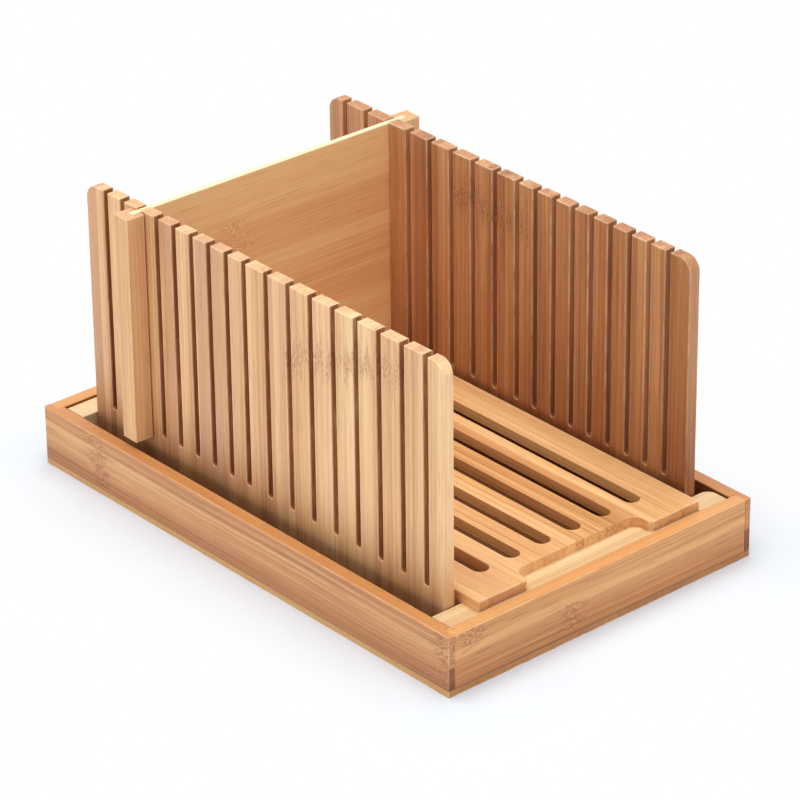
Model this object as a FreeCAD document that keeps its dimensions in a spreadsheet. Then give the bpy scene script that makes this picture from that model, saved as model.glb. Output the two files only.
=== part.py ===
import FreeCAD, Part
import os
import Sketcher

# Bread slicer guide: a crumb tray, a slicer base that lifts out of it, and a stop that lifts
# out of the base. The base is two comb-slotted walls screwed between two crossbars, with a
# slotted crumb grate glued on top of the bars.
# Each wall is one board, drawn as two lengths that meet face to face under its ninth slot: the
# half with slots for thick slices and the half with slots for thin ones.
# Frame: +Z up, X across the loaf, Y along it, the open front end at -Y.
# The origin lies under the middle of the tray, on the surface that it stands on.

SIZES = {
    # walls
    "channel_width": 163.8,   # clear width between the two walls
    "wall_thick": 7.2,
    "wall_top": 174.0,        # top of the walls above the table
    "wall_corner": 8.0,       # round of a wall's two upper corners
    "wall_foot": 1.0,         # the walls end this far above the crossbars' feet
    "wall_end_gap": 0.9,      # between a wall's end and the crossbar
    "wall_side_gap": 10.4,    # between a wall and the tray's side board
    "knife_slot": 3.8,        # width of one slot
    "slot_floor": 1.9,        # the slots end this far above the grate
    "pitch_wide": 17.7,       # slot spacing in the thick-slice half
    "pitch_narrow": 14.45,    # slot spacing in the thin-slice half
    "wide_count": 8,          # spacings in the thick-slice half
    "narrow_count": 8,        # spacings in the thin-slice half
    "margin_wide": 13.3,      # from the thick-slice end of a wall to its first slot
    "margin_narrow": 16.5,    # from the thin-slice end of a wall to its last slot
    # tray
    "tray_height": 35.4,
    "side_thick": 8.0,        # long side boards
    "end_thick": 8.0,         # short end boards
    "end_lap": 4.0,           # thickness of side board that covers an end board's end
    "floor_thick": 4.0,       # bottom panel
    # slicer base
    "base_play": 1.1,         # between the base and the tray, all round
    "seat_gap": 0.1,          # between pieces that rest on each other and lift apart
    "bar_depth": 14.0,        # crossbar, measured along the loaf
    "bar_drop": 1.0,          # the crossbars' tops lie this far below the tray's rim
    "bar_corner": 6.0,        # round of the crossbars' inner right corner
    "grate_thick": 6.0,
    "grate_side_gap": 3.7,    # between the grate and a wall
    "grate_inset": 0.7,       # the grate ends this far inside the crossbars' outer faces
    "crumb_slot": 9.5,        # width of one crumb slot
    "crumb_slots": 6,
    "crumb_side": 19.7,       # from the grate's side to the first crumb slot
    "crumb_end": 21.5,        # from the grate's end to the crumb slots
    "notch_width": 86.0,      # finger notch in the grate's front edge
    "notch_mouth": 4.0,       # outward round at the notch's two mouth corners
    "notch_bottom": 6.0,      # inward round at the notch's two bottom corners
    "notch_straight": 2.0,    # flat side of the notch between the two rounds
    # wall screws
    "screw_shank": 3.5,
    "screw_head": 6.6,
    "screw_length": 32.0,
    "screw_point": 3.0,       # length of the tapered point
    "screw_edge": 8.0,        # from a crossbar's foot and top to the screw axes
    "screw_sink": 0.2,        # the heads lie this far inside the crossbars' outer faces
    "screw_play": 0.05,       # between a screw and its hole, all round
    "pilot_spare": 1.0,       # the pilot holes go this far past the screws' points
    "recess_width": 0.9,      # arm of the cross recess in a screw's head
    "recess_span": 3.6,
    "recess_depth": 1.4,
    # stop
    "stop_slot": 3,           # the slot that holds the stop, counted from the rear
    "plate_play": 0.13,       # between the stop plate and each side of its slots
    "plate_let": 5.0,         # length of plate let into each post
    "post_size": 11.5,        # side of a post's square section
    "post_gap": 0.5,          # between a post and the wall beside it
    "post_foot": 4.7,         # the posts end this far above the tray's rim
    "stop_drop": 0.8,         # the stop's top lies this far below the walls' tops
    # broken edges
    "tray_round": 0.8,
    "edge_round": 0.5,
}

# Sizes that follow from the driving ones. A name without a prefix is another entry of this table.
LAYOUT = {
    # along the loaf
    "wide_length": "Sizes.margin_wide + Sizes.wide_count * Sizes.pitch_wide",
    "narrow_length": "Sizes.margin_narrow + Sizes.narrow_count * Sizes.pitch_narrow",
    "wall_end": "(wide_length + narrow_length) / 2",
    "wall_seam": "wide_length - wall_end",
    "bar_inner": "wall_end + Sizes.wall_end_gap",
    "bar_outer": "bar_inner + Sizes.bar_depth",
    "tray_inner_end": "bar_outer + Sizes.base_play",
    "tray_end": "tray_inner_end + Sizes.end_thick",
    "grate_end": "bar_outer - Sizes.grate_inset",
    # across the loaf
    "wall_inner": "Sizes.channel_width / 2",
    "wall_outer": "wall_inner + Sizes.wall_thick",
    "wall_middle": "(wall_inner + wall_outer) / 2",
    "tray_inner_side": "wall_outer + Sizes.wall_side_gap",
    "tray_side": "tray_inner_side + Sizes.side_thick",
    "bar_side": "tray_inner_side - Sizes.base_play",
    "grate_side": "wall_inner - Sizes.grate_side_gap",
    "crumb_first": "grate_side - Sizes.crumb_side - Sizes.crumb_slot / 2",
    "crumb_pitch": "2 * crumb_first / (Sizes.crumb_slots - 1)",
    "crumb_reach": "grate_end - Sizes.crumb_end",
    "notch_depth": "Sizes.notch_mouth + Sizes.notch_straight + Sizes.notch_bottom",
    # up from the table
    "base_foot": "Sizes.floor_thick + Sizes.seat_gap",
    "bar_top": "Sizes.tray_height - Sizes.bar_drop",
    "wall_bottom": "base_foot + Sizes.wall_foot",
    "grate_top": "bar_top + Sizes.grate_thick",
    "slot_bottom": "grate_top + Sizes.slot_floor",
    "slot_radius": "Sizes.knife_slot / 2",
    # screws
    "screw_low": "base_foot + Sizes.screw_edge",
    "screw_high": "bar_top - Sizes.screw_edge",
    "screw_face": "bar_outer - Sizes.screw_sink",
    "screw_tip": "screw_face - Sizes.screw_length",
    "screw_hole": "Sizes.screw_shank / 2 + Sizes.screw_play",
    "pilot_depth": "wall_end - screw_tip + Sizes.pilot_spare",
    "head_cone": "(Sizes.screw_head - Sizes.screw_shank) / 2",
    # The walls are one part, the right one turned half a turn, so the stop's two slots lie at
    # different places along the loaf and the stop stands slightly askew.
    "stop_left": "wall_end - Sizes.margin_narrow - (Sizes.stop_slot - 1) * Sizes.pitch_narrow",
    "stop_right": "wall_end - Sizes.margin_wide - (Sizes.stop_slot - 1) * Sizes.pitch_wide",
    "stop_middle": "(stop_left + stop_right) / 2",
    "stop_skew": "atan((stop_right - stop_left) / (2 * wall_middle)) / 1deg",
    "skew_sine": "abs(sin(stop_skew * 1deg))",
    "skew_cosine": "cos(stop_skew * 1deg)",
    "plate_thick": "Sizes.knife_slot * skew_cosine - Sizes.wall_thick * skew_sine"
                   " - 2 * Sizes.plate_play",
    # a flat plate stands on the flanks of the slots' round bottoms
    "plate_rest": "slot_radius - sqrt(2 * slot_radius * Sizes.plate_play - Sizes.plate_play ^ 2)"
                  " + Sizes.seat_gap",
    "plate_bottom": "slot_bottom + plate_rest",
    "stop_top": "Sizes.wall_top - Sizes.stop_drop",
    "post_bottom": "Sizes.tray_height + Sizes.post_foot",
    "post_inner": "(wall_outer + Sizes.post_gap + Sizes.post_size / 2 * skew_sine) / skew_cosine",
    "post_outer": "post_inner + Sizes.post_size",
    "plate_reach": "post_inner + Sizes.plate_let",
}

doc = FreeCAD.newDocument("bread_slicer_guide")

sizes = doc.addObject("Spreadsheet::Sheet", "Sizes")
for row, (alias, value) in enumerate(SIZES.items(), start=1):
    sizes.set(f"A{row}", str(value))
    sizes.setAlias(f"A{row}", alias)

layout = doc.addObject("App::VarSet", "Layout")
for name, formula in LAYOUT.items():
    layout.addProperty("App::PropertyFloat", name, "Layout")
for name, formula in LAYOUT.items():
    layout.setExpression(name, formula)
doc.recompute()

VERTICAL = FreeCAD.Vector(0, 0, 1)
HALF_TURN = 180                # degrees
SCREW_HEIGHTS = ("Layout.screw_low", "Layout.screw_high")
TOUCH = 1e-4                   # two places closer than this are the same, in mm


# ---- helpers: sketches, features and edge choice -------------------------------------------

def number(formula):
    """The present value of a formula, used to draw a sketch near its solved shape."""
    return float(layout.evalExpression(formula))


def new_body(label):
    body = doc.addObject("PartDesign::Body", label)
    body.Label = label
    return body


def origin_feature(body, role):
    return next(feature for feature in body.Origin.OriginFeatures if feature.Role == role)


def new_sketch(body, name, role, offset="0"):
    """A sketch on one of the body's origin planes, moved along the plane's normal by offset."""
    sketch = body.newObject("Sketcher::SketchObject", name)
    sketch.AttachmentSupport = [(origin_feature(body, role), "")]
    sketch.MapMode = "FlatFace"
    sketch.setExpression("AttachmentOffset.Base.z", offset)
    return sketch


def pin_point(sketch, geometry, end, tag, right, up):
    """Hold one sketch point at two formulas, measured from the sketch's origin."""
    for kind, formula in (("DistanceX", right), ("DistanceY", up)):
        rule = Sketcher.Constraint(kind, -1, 1, geometry, end, number(formula))
        index = sketch.addConstraint(rule)
        sketch.renameConstraint(index, tag + kind)
        sketch.setExpression("Constraints." + tag + kind, formula)


def draw_polygon(sketch, corners, tag="corner"):
    """A closed outline through corners, each a pair of formulas."""
    places = [FreeCAD.Vector(number(right), number(up), 0) for right, up in corners]
    count = len(corners)
    first = sketch.GeometryCount
    for step in range(count):
        sketch.addGeometry(Part.LineSegment(places[step], places[(step + 1) % count]), False)
    for step in range(count):
        following = first + (step + 1) % count
        sketch.addConstraint(Sketcher.Constraint("Coincident", first + step, 2, following, 1))
    for step, (right, up) in enumerate(corners):
        pin_point(sketch, first + step, 1, f"{tag}{step}", right, up)


def draw_rectangle(sketch, left, bottom, right, top, tag="corner"):
    draw_polygon(sketch, [(left, bottom), (right, bottom), (right, top), (left, top)], tag)


def draw_circle(sketch, right, up, radius, tag):
    place = FreeCAD.Vector(number(right), number(up), 0)
    circle = sketch.addGeometry(Part.Circle(place, VERTICAL, number(radius)), False)
    pin_point(sketch, circle, 3, tag, right, up)
    index = sketch.addConstraint(Sketcher.Constraint("Radius", circle, number(radius)))
    sketch.renameConstraint(index, tag + "Radius")
    sketch.setExpression("Constraints." + tag + "Radius", radius)


def pad(body, sketch, length, name):
    feature = body.newObject("PartDesign::Pad", name)
    feature.Profile = sketch
    feature.setExpression("Length", length)
    doc.recompute()
    return feature


def pocket(body, sketch, name, depth=None):
    """Cut a sketch into the body, to depth on both sides of its plane, or right through."""
    before = body.Tip.Shape.Volume
    feature = body.newObject("PartDesign::Pocket", name)
    feature.Profile = sketch
    feature.SideType = "Symmetric"
    if depth:
        feature.setExpression("Length", f"2 * ({depth})")
    else:
        feature.Type = "ThroughAll"
    doc.recompute()
    if feature.Shape.Volume > before - TOUCH:
        raise RuntimeError(f"{body.Label}: {name} cut nothing")
    return feature


def row_of(body, feature, axis, spacing, count, name):
    """Repeat a feature along an axis of the body's origin."""
    pattern = body.newObject("PartDesign::LinearPattern", name)
    pattern.Originals = [feature]
    pattern.Direction = (origin_feature(body, axis), [""])
    pattern.Mode = "Spacing"
    pattern.setExpression("Offset", spacing)
    pattern.setExpression("Occurrences", count)
    body.Tip = pattern
    doc.recompute()
    return pattern


def edges_where(feature, chosen):
    """Names of the edges that chosen accepts, from each edge's own box."""
    names = []
    for index, edge in enumerate(feature.Shape.Edges, start=1):
        if chosen(edge.BoundBox):
            names.append(f"Edge{index}")
    return names


def round_edges(body, radius, chosen, name):
    base = body.Tip
    fillet = body.newObject("PartDesign::Fillet", name)
    fillet.Base = (base, edges_where(base, chosen))
    fillet.setExpression("Radius", radius)
    body.Tip = fillet
    doc.recompute()
    return fillet


def upright(box):
    return box.XLength < TOUCH and box.YLength < TOUCH


def near(one, other):
    return abs(one - other) < TOUCH


def near_either(one, others):
    return any(near(one, other) for other in others)


# ---- tray: two side boards, two end boards and a bottom panel, glued ------------------------

def tray_bottom():
    body = new_body("tray_bottom")
    sketch = new_sketch(body, "tray_bottom_outline", "XY_Plane")
    draw_rectangle(sketch, "-Layout.tray_side", "-Layout.tray_end", "Layout.tray_side", "Layout.tray_end")
    pad(body, sketch, "Sizes.floor_thick", "tray_bottom_panel")
    round_edges(body, "Sizes.tray_round", upright, "tray_bottom_corners")


def tray_side(label, sign):
    """A long side board. Its ends are rabbeted to take the end boards."""
    outer, inner = f"{sign} * Layout.tray_side", f"{sign} * Layout.tray_inner_side"
    lap = f"{sign} * (Layout.tray_side - Sizes.end_lap)"
    body = new_body(label)
    sketch = new_sketch(body, label + "_outline", "XY_Plane", "Sizes.floor_thick")
    draw_polygon(sketch, [
        (outer, "-Layout.tray_end"),
        (lap, "-Layout.tray_end"),
        (lap, "-Layout.tray_inner_end"),
        (inner, "-Layout.tray_inner_end"),
        (inner, "Layout.tray_inner_end"),
        (lap, "Layout.tray_inner_end"),
        (lap, "Layout.tray_end"),
        (outer, "Layout.tray_end"),
    ])
    board = pad(body, sketch, "Sizes.tray_height - Sizes.floor_thick", label + "_board")
    outside = number(outer)
    inside = number(inner)
    rim = board.Shape.BoundBox.ZMax

    def worn(box):
        corner = upright(box) and near(box.XMin, outside)
        lip = near(box.ZMin, rim) and box.XLength < TOUCH and near_either(box.XMin, (inside, outside))
        return corner or lip

    round_edges(body, "Sizes.tray_round", worn, label + "_edges")


def tray_end(label, sign):
    """A short end board, glued into the side boards' rabbets."""
    side = "(Layout.tray_side - Sizes.end_lap)"
    body = new_body(label)
    sketch = new_sketch(body, label + "_outline", "XY_Plane", "Sizes.floor_thick")
    outer, inner = f"{sign} * Layout.tray_end", f"{sign} * Layout.tray_inner_end"
    draw_rectangle(sketch, "-" + side, inner, side, outer)
    board = pad(body, sketch, "Sizes.tray_height - Sizes.floor_thick", label + "_board")
    outside = number(outer)
    rim = board.Shape.BoundBox.ZMax

    def worn(box):
        corner = upright(box) and near(box.YMin, outside)
        lip = near(box.ZMin, rim) and box.YLength < TOUCH
        return corner or lip

    round_edges(body, "Sizes.edge_round", worn, label + "_edges")


# ---- slicer base: crossbars, comb walls, crumb grate and the screws ------------------------

def crossbar(label, sign):
    """A bar between the tray's sides, with one inner corner rounded and four screw holes."""
    body = new_body(label)
    sketch = new_sketch(body, label + "_outline", "XY_Plane", "Layout.base_foot")
    outer, inner = f"{sign} * Layout.bar_outer", f"{sign} * Layout.bar_inner"
    draw_rectangle(sketch, "-Layout.bar_side", inner, "Layout.bar_side", outer)
    pad(body, sketch, "Layout.bar_top - Layout.base_foot", label + "_bar")
    right = number("Layout.bar_side")
    inside, outside = number(inner), number(outer)

    def inner_right(box):
        return upright(box) and near(box.XMin, right) and near(box.YMin, inside)

    round_edges(body, "Sizes.bar_corner", inner_right, label + "_corner")
    holes = new_sketch(body, label + "_hole_centres", "XZ_Plane", f"-({outer})")
    for column, across in enumerate(("-Layout.wall_middle", "Layout.wall_middle")):
        for level, height in enumerate(SCREW_HEIGHTS):
            draw_circle(holes, across, height, "Layout.screw_hole", f"hole{column}{level}")
    pocket(body, holes, label + "_holes")
    drilled = body.Tip

    def hole_mouth(box):
        return near(box.YMin, outside) and near(box.YMax, outside) and near(box.XLength, box.ZLength)

    sinks = body.newObject("PartDesign::Chamfer", label + "_sinks")
    sinks.Base = (drilled, edges_where(drilled, hole_mouth))
    sinks.setExpression("Size", "Layout.head_cone + Sizes.screw_sink")
    body.Tip = sinks
    doc.recompute()
    rim = number("Layout.bar_top")

    def lip(box):
        return near(box.ZMin, rim) and near(box.ZMax, rim)

    round_edges(body, "Sizes.edge_round", lip, label + "_edges")


def wall_board(body, label, near_end, far_end, corner_end, slot_place, spacing, count):
    """One length of a wall, drawn at the left, with a row of knife slots from slot_place on."""
    sketch = new_sketch(body, label + "_outline", "YZ_Plane", "-Layout.wall_outer")
    draw_rectangle(sketch, near_end, "Layout.wall_bottom", far_end, "Sizes.wall_top")
    pad(body, sketch, "Sizes.wall_thick", label + "_board")
    top = number("Sizes.wall_top")
    free_end = number(corner_end)
    seam = number("Layout.wall_seam")
    faces = (-number("Layout.wall_inner"), -number("Layout.wall_outer"))

    def top_corner(box):
        return near(box.ZMin, top) and near(box.ZMax, top) and near(box.YMin, free_end) \
            and near(box.YMax, free_end)

    def on_a_face(box):
        in_the_seam = near(box.YMin, seam) and near(box.YMax, seam)
        return box.XLength < TOUCH and near_either(box.XMin, faces) and not in_the_seam

    round_edges(body, "Sizes.wall_corner", top_corner, label + "_corner")
    first = knife_slot(body, label + "_first_slot", slot_place)
    row_of(body, first, "Y_Axis", spacing, count, label + "_slots")
    round_edges(body, "Sizes.edge_round", on_a_face, label + "_edges")
    pilots = new_sketch(body, label + "_pilot_centres", "XZ_Plane", f"-({corner_end})")
    for level, height in enumerate(SCREW_HEIGHTS):
        draw_circle(pilots, "-Layout.wall_middle", height, "Layout.screw_hole", f"pilot{level}")
    pocket(body, pilots, label + "_pilots", "Layout.pilot_depth")


def comb_wall(wide_label, narrow_label, half_turns):
    """A slotted wall in two lengths. Both walls are drawn at the left; one is then turned round."""
    wide = new_body(wide_label)
    wall_board(wide, wide_label, "-Layout.wall_end", "Layout.wall_seam", "-Layout.wall_end",
               "(Sizes.margin_wide - Layout.wall_end)", "Sizes.pitch_wide", "Sizes.wide_count + 1")
    narrow = new_body(narrow_label)
    wall_board(narrow, narrow_label, "Layout.wall_seam", "Layout.wall_end", "Layout.wall_end",
               "Layout.wall_seam", "Sizes.pitch_narrow", "Sizes.narrow_count + 1")
    turn = FreeCAD.Rotation(VERTICAL, HALF_TURN * half_turns)
    for body in (wide, narrow):
        body.Placement = FreeCAD.Placement(FreeCAD.Vector(), turn)


def knife_slot(body, name, middle):
    """One slot, open at the top and round at the bottom, centred on middle along the wall."""
    low, high = "(Layout.slot_bottom + Layout.slot_radius)", "(Sizes.wall_top + Layout.slot_radius)"
    left, right = f"({middle} - Layout.slot_radius)", f"({middle} + Layout.slot_radius)"
    sketch = new_sketch(body, name + "_outline", "YZ_Plane", "-Layout.wall_middle")
    corners = [(left, low), (left, high), (right, high), (right, low)]
    places = [FreeCAD.Vector(number(across), number(up), 0) for across, up in corners]
    for start, end in zip(places, places[1:]):
        sketch.addGeometry(Part.LineSegment(start, end), False)
    lowest = FreeCAD.Vector(number(middle), number("Layout.slot_bottom"), 0)
    bottom = sketch.addGeometry(Part.Arc(places[0], lowest, places[3]), False)
    for step in range(2):
        sketch.addConstraint(Sketcher.Constraint("Coincident", step, 2, step + 1, 1))
    sketch.addConstraint(Sketcher.Constraint("Coincident", 0, 1, bottom, 1))
    sketch.addConstraint(Sketcher.Constraint("Coincident", 2, 2, bottom, 2))
    for step in range(3):
        pin_point(sketch, step, 1, f"corner{step}", *corners[step])
    pin_point(sketch, 2, 2, "corner3", *corners[3])
    centre = Sketcher.Constraint("DistanceY", -1, 1, bottom, 3, number(low))
    index = sketch.addConstraint(centre)
    sketch.renameConstraint(index, "bottom_height")
    sketch.setExpression("Constraints.bottom_height", low)
    return pocket(body, sketch, name)


def crumb_grate():
    """A flat board with long crumb slots and a finger notch in its front edge."""
    body = new_body("crumb_grate")
    sketch = new_sketch(body, "grate_outline", "XY_Plane", "Layout.bar_top")
    draw_rectangle(sketch, "-Layout.grate_side", "-Layout.grate_end", "Layout.grate_side", "Layout.grate_end")
    board = pad(body, sketch, "Sizes.grate_thick", "grate_board")
    slot = new_sketch(body, "crumb_slot_outline", "XY_Plane", "Layout.grate_top")
    draw_long_slot(slot, "-Layout.crumb_first", "Layout.crumb_reach", "Sizes.crumb_slot / 2")
    first = pocket(body, slot, "first_crumb_slot")
    row_of(body, first, "X_Axis", "Layout.crumb_pitch", "Sizes.crumb_slots", "crumb_slots")
    notch = new_sketch(body, "notch_outline", "XY_Plane", "Layout.grate_top")
    half = "Sizes.notch_width / 2"
    draw_rectangle(notch, f"-{half}", "(-Layout.grate_end - Sizes.crumb_slot)", half,
                   "(Layout.notch_depth - Layout.grate_end)")
    pocket(body, notch, "finger_notch")
    mouth = board.Shape.BoundBox.YMin
    inside = number("Layout.notch_depth - Layout.grate_end")
    reach = number(half)

    def mouth_corner(box):
        return upright(box) and near(box.YMin, mouth) and near(abs(box.XMin), reach)

    def bottom_corner(box):
        return upright(box) and near(box.YMin, inside) and near(abs(box.XMin), reach)

    round_edges(body, "Sizes.notch_mouth", mouth_corner, "notch_mouth_rounds")
    round_edges(body, "Sizes.notch_bottom", bottom_corner, "notch_bottom_rounds")
    face = number("Layout.grate_top")

    def lip(box):
        return near(box.ZMin, face) and near(box.ZMax, face)

    round_edges(body, "Sizes.edge_round", lip, "grate_edges")


def draw_long_slot(sketch, across, reach, radius):
    """An outline with two straight sides and round ends, centred on the sketch's X axis."""
    left, right = f"({across} - {radius})", f"({across} + {radius})"
    straight = f"({reach} - {radius})"
    west, east, north = number(left), number(right), number(straight)
    middle, tip = number(across), number(reach)
    corners = [(left, f"-{straight}"), (left, straight), (right, straight), (right, f"-{straight}")]
    places = [FreeCAD.Vector(west, -north, 0), FreeCAD.Vector(west, north, 0),
              FreeCAD.Vector(east, north, 0), FreeCAD.Vector(east, -north, 0)]
    sides = [sketch.addGeometry(Part.LineSegment(places[0], places[1]), False),
             sketch.addGeometry(Part.LineSegment(places[2], places[3]), False)]
    far = sketch.addGeometry(Part.Arc(places[1], FreeCAD.Vector(middle, tip, 0), places[2]), False)
    near_end = sketch.addGeometry(Part.Arc(places[3], FreeCAD.Vector(middle, -tip, 0), places[0]), False)
    pin_point(sketch, sides[0], 1, "corner0", *corners[0])
    pin_point(sketch, sides[0], 2, "corner1", *corners[1])
    pin_point(sketch, sides[1], 1, "corner2", *corners[2])
    pin_point(sketch, sides[1], 2, "corner3", *corners[3])
    # an arc always runs counter-clockwise, so its start is its clockwise-most end
    sketch.addConstraint(Sketcher.Constraint("Coincident", far, 1, sides[1], 1))
    sketch.addConstraint(Sketcher.Constraint("Coincident", far, 2, sides[0], 2))
    sketch.addConstraint(Sketcher.Constraint("Coincident", near_end, 1, sides[0], 1))
    sketch.addConstraint(Sketcher.Constraint("Coincident", near_end, 2, sides[1], 2))
    for arc, tag, height in ((far, "far_centre", straight), (near_end, "near_centre", f"-{straight}")):
        index = sketch.addConstraint(Sketcher.Constraint("DistanceY", -1, 1, arc, 3, number(height)))
        sketch.renameConstraint(index, tag)
        sketch.setExpression("Constraints." + tag, height)


def wall_screws():
    """Eight countersunk steel screws, two through each crossbar into each wall's end."""
    body = new_body("wall_screws")
    profile = new_sketch(body, "screw_profile", "YZ_Plane", "-Layout.wall_middle")
    axis, face = "Layout.screw_low", "-Layout.screw_face"
    head, shank = f"({axis} + Sizes.screw_head / 2)", f"({axis} + Sizes.screw_shank / 2)"
    draw_polygon(profile, [
        (face, axis),
        (face, head),
        (f"({face} + Layout.head_cone)", shank),
        ("(-Layout.screw_tip - Sizes.screw_point)", shank),
        ("-Layout.screw_tip", axis),
    ])
    turned = body.newObject("PartDesign::Revolution", "first_screw")
    turned.Profile = profile
    turned.ReferenceAxis = (profile, ["Edge5"])
    turned.Angle = 360
    doc.recompute()
    recess = new_sketch(body, "recess_outline", "XZ_Plane", "Layout.screw_face")
    arm, reach = "Sizes.recess_width / 2", "Sizes.recess_span / 2"
    middle = "-Layout.wall_middle"
    turn = [(arm, reach), (arm, arm), (reach, arm)]
    cross = [(right, up) for right, up in turn]
    cross += [(right, f"-{up}") for right, up in reversed(turn)]
    cross += [(f"-{right}", f"-{up}") for right, up in turn]
    cross += [(f"-{right}", up) for right, up in reversed(turn)]
    draw_polygon(recess, [(f"({middle} + {right})", f"({axis} + {up})") for right, up in cross])
    cut = pocket(body, recess, "first_recess", "Sizes.recess_depth")
    copies = body.newObject("PartDesign::MultiTransform", "all_screws")
    copies.Originals = [turned, cut]
    upper = body.newObject("PartDesign::LinearPattern", "upper_screws")
    upper.Direction = (origin_feature(body, "Z_Axis"), [""])
    upper.Mode = "Spacing"
    upper.setExpression("Offset", "Layout.screw_high - Layout.screw_low")
    upper.Occurrences = 2
    right_side = body.newObject("PartDesign::Mirrored", "right_screws")
    right_side.MirrorPlane = (origin_feature(body, "YZ_Plane"), [""])
    rear_side = body.newObject("PartDesign::Mirrored", "rear_screws")
    rear_side.MirrorPlane = (origin_feature(body, "XZ_Plane"), [""])
    copies.Transformations = [upper, right_side, rear_side]
    body.Tip = copies
    doc.recompute()


# ---- stop: a plate glued between two posts, drawn square and then set askew ----------------

def set_askew(body):
    body.Placement = FreeCAD.Placement(FreeCAD.Vector(), FreeCAD.Rotation(VERTICAL, 1))
    body.setExpression("Placement.Base.y", "Layout.stop_middle")
    body.setExpression("Placement.Rotation.Angle", "Layout.stop_skew * 1deg")


def stop_plate():
    body = new_body("stop_plate")
    sketch = new_sketch(body, "plate_outline", "XZ_Plane", "-Layout.plate_thick / 2")
    draw_rectangle(sketch, "-Layout.plate_reach", "Layout.plate_bottom",
                   "Layout.plate_reach", "Layout.stop_top")
    plate = pad(body, sketch, "Layout.plate_thick", "plate_board")
    foot = plate.Shape.BoundBox.ZMin

    def bottom_edge(box):
        return near(box.ZMin, foot) and near(box.ZMax, foot) and box.YLength < TOUCH

    round_edges(body, "Sizes.edge_round", bottom_edge, "plate_edges")
    set_askew(body)


def stop_post(label, sign):
    """A square post outside a wall, with a groove that takes the plate's end."""
    inner, outer = f"{sign} * Layout.post_inner", f"{sign} * Layout.post_outer"
    body = new_body(label)
    sketch = new_sketch(body, label + "_outline", "XY_Plane", "Layout.post_bottom")
    half = "Sizes.post_size / 2"
    draw_rectangle(sketch, inner, f"-{half}", outer, half)
    post = pad(body, sketch, "Layout.stop_top - Layout.post_bottom", label + "_post")
    groove = new_sketch(body, label + "_groove_outline", "XY_Plane", "Layout.stop_top")
    slot = "Layout.plate_thick / 2"
    draw_rectangle(groove, f"{sign} * (Layout.post_inner - Sizes.plate_let)", f"-{slot}",
                   f"{sign} * Layout.plate_reach", slot)
    pocket(body, groove, label + "_groove", "Layout.stop_top - Layout.plate_bottom")
    side = post.Shape.BoundBox.YMax

    def worn(box):
        return upright(box) and near(abs(box.YMin), side)

    round_edges(body, "Sizes.edge_round", worn, label + "_edges")
    set_askew(body)


# ---- build, check and write ---------------------------------------------------------------

FRONT, REAR = -1, 1
LEFT, RIGHT = -1, 1

tray_bottom()
tray_side("tray_side_left", LEFT)
tray_side("tray_side_right", RIGHT)
tray_end("tray_end_front", FRONT)
tray_end("tray_end_rear", REAR)
crossbar("crossbar_front", FRONT)
crossbar("crossbar_rear", REAR)
comb_wall("wall_left_front", "wall_left_rear", 0)
comb_wall("wall_right_rear", "wall_right_front", 1)
crumb_grate()
wall_screws()
stop_plate()
stop_post("stop_post_left", LEFT)
stop_post("stop_post_right", RIGHT)
doc.recompute()

for item in doc.Objects:
    if "Invalid" in item.State or "Error" in item.State:
        raise RuntimeError(f"{item.Label} did not compute: {item.State}")

pieces = [item for item in doc.Objects if item.TypeId == "PartDesign::Body"]
for piece in pieces:
    if piece.Shape.isNull() or not piece.Shape.isValid() or not piece.Shape.Solids:
        raise RuntimeError(f"{piece.Label} has no valid solid")

os.makedirs("parts", exist_ok=True)
for piece in pieces:
    piece.Shape.exportStep(f"parts/{piece.Label}.step")
    print(f"{piece.Label}: {len(piece.Shape.Solids)} solid(s), {piece.Shape.Volume / 1000:.2f} cm3")
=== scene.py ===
import math

import bpy
import numpy as np
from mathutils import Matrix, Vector


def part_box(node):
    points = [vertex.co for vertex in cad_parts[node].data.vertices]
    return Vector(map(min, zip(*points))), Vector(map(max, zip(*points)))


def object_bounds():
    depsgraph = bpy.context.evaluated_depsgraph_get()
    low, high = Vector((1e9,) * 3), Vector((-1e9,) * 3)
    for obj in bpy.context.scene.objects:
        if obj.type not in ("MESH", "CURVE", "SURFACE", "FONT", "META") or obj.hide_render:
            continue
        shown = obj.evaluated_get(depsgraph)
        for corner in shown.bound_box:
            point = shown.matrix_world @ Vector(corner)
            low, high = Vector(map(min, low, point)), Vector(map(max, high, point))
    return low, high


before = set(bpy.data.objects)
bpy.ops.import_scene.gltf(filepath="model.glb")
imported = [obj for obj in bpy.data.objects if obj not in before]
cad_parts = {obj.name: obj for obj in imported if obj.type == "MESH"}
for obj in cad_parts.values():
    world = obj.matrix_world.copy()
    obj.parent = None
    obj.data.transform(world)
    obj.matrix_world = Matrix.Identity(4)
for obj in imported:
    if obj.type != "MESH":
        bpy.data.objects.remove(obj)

cad_low, cad_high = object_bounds()


# ==== Crumb tray: the side boards =====================================================
# Two long side boards of laminated bamboo, 8 mm thick, with the grain along them. Their ends
# are rabbeted for the end boards, so a narrow strip of their end grain shows at each corner.

def srgb(code):
    """A colour written as six hex digits, as the linear RGBA that shader sockets take."""
    parts = [int(code[at:at + 2], 16) / 255 for at in (0, 2, 4)]
    return [c / 12.92 if c <= 0.04045 else ((c + 0.055) / 1.055) ** 2.4 for c in parts] + [1]


def place(tree, kind, **settings):
    """A new node of the given kind, with its properties set."""
    node = tree.nodes.new(kind)
    for name, value in settings.items():
        setattr(node, name, value)
    return node


def feed(tree, socket, value):
    """Gives a socket a link if value is another node's output, and a fixed value if not."""
    if isinstance(value, bpy.types.NodeSocket):
        tree.links.new(value, socket)
    else:
        socket.default_value = value


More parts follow.
